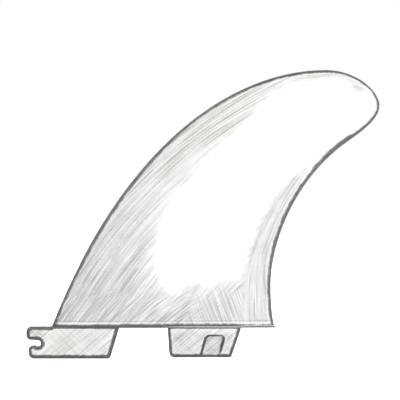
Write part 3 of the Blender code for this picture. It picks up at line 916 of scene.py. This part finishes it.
def skin_lines_and_grey(add, here):
    """Lines in the whole skin, and its share of grey with the lines in it.

    The skin is cloudy and mottled where it is grey. A painted highlight lightens it a little next to the
    dark edges, and another lies as a strip over the foot's dark band, under a thin line of painted shade
    just above the flare, which rises to the rear.
    """
    lines = blade_lines(add, here)
    grey, contrast = blade_grey(add, here, lines)
    lines = add("Mix", {0: here.on_tabs, 2: lines, 3: tab_lines(add, here)})
    grey = add("Mix", {0: here.on_tabs, 2: grey, 3: tab_grey(add, here)})
    contrast = add("Mix", {0: here.on_tabs, 2: contrast, 3: 0.30})

    cloudy = add("MapRange", (here.clouds, *NOISE_RANGE, 0.88, 1.12))
    mottled = add("MapRange", (here.grain, 0.2, 0.8, 0.65, 1.35))
    # Painted highlight: lighter next to the dark edges
    edge_highlight = add("MapRange", (here.edge, 1.1, 2.2, 0.6, 1.0))
    for factor in (cloudy, mottled, edge_highlight):
        grey = add("Math", (grey, factor), operation="MULTIPLY")
    grey = add("Math", (lines, contrast, grey), operation="MULTIPLY_ADD")

    # Painted highlight: a pale strip over the foot's dark band, on the flare
    strip = add("MapRange", (here.height, 2.3 * MM, 3.0 * MM, 0.45, 1.0))
    strip = add("Math", (strip, here.on_tabs), operation="MAXIMUM")
    grey = add("Math", (grey, strip), operation="MULTIPLY")
    # Painted shade: a thin dark line just above the flare, rising to the rear
    crease_line_height = add("MapRange", (here.rearward, FOOT_X, HEEL_X, 2.95 * MM, 3.4 * MM))
    from_crease_line = add("Math", (here.height, crease_line_height), operation="SUBTRACT")
    from_crease_line = add("Math", (from_crease_line,), operation="ABSOLUTE")
    line = add("MapRange", (from_crease_line, 0.45 * MM, 0.1 * MM, 0.0, 0.42), interpolation_type="SMOOTHSTEP")
    return lines, add("Math", (grey, line), operation="ADD", use_clamp=True)


def skin_colour(add, here, grey):
    """Milky white, and by the share of grey the grey of the fibre lines and painted shade. Sun and salt have
    yellowed it very slightly on the upper blade and the front tab, but less in the nose, by as much as the
    finger is greyer."""
    low = add("MapRange", (here.rearward, -18 * MM, -42 * MM))
    low = add("Math", (low, here.on_tabs), operation="MULTIPLY")
    low = add("Math", (here.in_nose, -FINGER_GREY, low), operation="MULTIPLY_ADD", use_clamp=True)
    high = add("MapRange", (here.height, 55 * MM, 85 * MM, 0.0, 0.6))
    yellow = add("Math", (low, high), operation="ADD")
    first, second, result = MIX_COLOURS
    greys = {0: yellow, first: linear(FIBRE_AND_SHADE_GREY), second: linear(YELLOWED_GREY)}
    # Grey of the fibre lines and the painted shade, yellowed a little
    fibres = add("Mix", greys, data_type="RGBA").outputs[result]
    colours = {0: grey, first: linear(MILKY_WHITE), second: fibres}
    return add("Mix", colours, data_type="RGBA").outputs[result]


def painted_edge_shade(add, here):
    """Share of the painted edge shade's grey: a band a little uneven in width and grainy, and lightest along
    the lower leading edge. Behind, a painted highlight runs pale along the middle of the foot's band, which
    leaves two dark lines."""
    uneven = add("TexNoise", {"Vector": here.position, "Scale": 1 / WAVER_WIDTH, "Detail": 2.0})
    uneven = add("MapRange", (uneven, *NOISE_RANGE, -0.15, 0.15))
    edge = add("Math", (here.edge, uneven), operation="ADD")
    dark = add("MapRange", (edge, 1.25, 0.7), interpolation_type="SMOOTHSTEP")
    grainy = add("MapRange", (here.grain, 0.25, 0.75, 0.84, 1.0))
    at_foot = add("MapRange", (here.height, 1.5 * MM, 3.5 * MM, 1.0, 0.0))
    behind = add("MapRange", (here.chord, 0.4, 0.6, 0.87, 0.94))
    high = add("MapRange", (here.span, 0.60, 0.70, 0.87, 0.97))
    strength = add("Math", (at_foot, behind), operation="MAXIMUM")
    strength = add("Math", (strength, high), operation="MAXIMUM")

    # Painted highlight: a pale glint along the middle of the foot's dark band, behind, which leaves two dark
    # lines
    glint_height = add("MapRange", (here.rearward, 44 * MM, 50 * MM, 0.5 * MM, 0.95 * MM))
    from_glint = add("Math", (here.height, glint_height), operation="SUBTRACT")
    from_glint = add("Math", (from_glint,), operation="ABSOLUTE")
    glint = add("MapRange", (from_glint, 0.15 * MM, 0.4 * MM, 0.5, 0.0), interpolation_type="SMOOTHSTEP")
    glint_reach = add("MapRange", (here.rearward, 8 * MM, 18 * MM))
    glint = add("Math", (glint, glint_reach), operation="MULTIPLY")
    unglinted = add("Math", (1.0, glint), operation="SUBTRACT")
    for factor in (grainy, strength, unglinted):
        dark = add("Math", (dark, factor), operation="MULTIPLY")
    return dark


def glass_filled_nylon():
    """Nylon filled with long glass fibres, injection moulded and left as it came from a satin tool.

    The melt runs up from the tabs and leaves the skin lined with fibres along the flow. The grey at the
    root, behind the leading edge and at the heel is painted shade, and the milky white middle of the blade
    and the tip is a painted highlight. The darker grey along the rounded edges, under the blade's foot and
    in the pockets' corners is painted shade.
    """
    material, add = new_material("glass_filled_nylon")
    here = place_on_fin(add)
    lines, grey = skin_lines_and_grey(add, here)
    first, second, result = MIX_COLOURS
    skin = skin_colour(add, here, grey)
    # Painted shade along the edges, under the blade's foot and round the pockets
    colours = {0: painted_edge_shade(add, here), first: skin, second: linear(EDGE_SHADE_GREY)}
    colour = add("Mix", colours, data_type="RGBA").outputs[result]

    # Flow lines stand about 0.01 mm proud and are a little rougher
    relief = add("Bump", {"Strength": 0.3, "Distance": 0.02 * MM, "Height": lines})
    roughness = add("MapRange", (lines, -1.0, 1.0, 0.34, 0.48))
    shader = add("BsdfPrincipled", {
        "Base Color": colour, "Roughness": roughness, "Normal": relief, "IOR": 1.53,
    })
    add("OutputMaterial", (shader,))
    return material


def floor():
    """Plain pale floor just under the tabs."""
    half = FLOOR_HALF_WIDTH
    points = np.array(((-half, -half), (half, -half), (half, half), (-half, half)))
    points = np.column_stack((points, np.full(4, LOW.z - FLOOR_CLEARANCE)))
    piece = surface("floor", points, (np.array(((0, 1, 2, 3),)),))
    material, add = new_material("pale_floor")
    seen_directly = add("LightPath", ())
    strength = add("MapRange", (seen_directly, 0.0, 1.0, 0.0, FLOOR_GLOW))
    matt = add("BsdfDiffuse", (linear(FLOOR_GREY),))
    glow = add("Emission", (linear(WHITE), strength))
    both = add("AddShader", (matt, glow))
    add("OutputMaterial", (both,))
    piece.data.materials.append(material)


def soft_light(name, place, width, watts):
    """Square soft light at a place, turned to the middle of the view."""
    light = bpy.data.lights.new(name, "AREA")
    light.shape = "SQUARE"
    light.size = width
    light.energy = watts
    lamp = bpy.data.objects.new(name, light)
    lamp.location = place
    lamp.rotation_euler = (VIEW_CENTRE - Vector(place)).to_track_quat("-Z", "Y").to_euler()
    bpy.context.scene.collection.objects.link(lamp)


def lighting():
    """Soft light from both sides and overhead, in a white room that gives little light of its own."""
    for side, key, front in ((-1, "key_light", "front_light"), (1, "far_key_light", "far_light")):
        soft_light(key, (0.9, side * 1.1, 0.75), 0.7, 12.5)
        soft_light(front, (-0.35, side * 1.5, 0.35), 0.6, 5.6)
    soft_light("top_light", (0.0, 0.25, 1.5), 1.2, 9.0)
    world = bpy.data.worlds.new("white_room")
    world.use_nodes = True
    world.node_tree.nodes.clear()
    add = functools.partial(add_node, world.node_tree)
    seen_directly = add("LightPath", ())
    strength = add("MapRange", (seen_directly, 0.0, 1.0, ROOM_LIGHT, 1.0))
    back = add("Background", (linear(WHITE), strength))
    add("OutputWorld", (back,))
    bpy.context.scene.world = world
    bpy.context.scene.view_settings.view_transform = "Standard"


def camera():
    """Long lens, level with the middle of the picture and square on to the blade."""
    lens = bpy.data.cameras.new("camera")
    lens.lens = CAMERA_LENS
    lens.sensor_width = SENSOR_WIDTH
    lens.clip_start = 0.05
    lens.clip_end = 20.0
    eye = bpy.data.objects.new("camera", lens)
    distance = PIXEL * PICTURE_WIDTH * CAMERA_LENS / SENSOR_WIDTH
    eye.location = VIEW_CENTRE - Vector((0.0, distance, 0.0))
    eye.rotation_euler = (math.pi / 2, 0.0, 0.0)
    bpy.context.scene.collection.objects.link(eye)
    bpy.context.scene.camera = eye


moulded_fin = fin()
moulded_fin.data.materials.clear()
moulded_fin.data.materials.append(glass_filled_nylon())
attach(moulded_fin, "root")
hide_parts("surfboard_fin")

floor()
lighting()
camera()
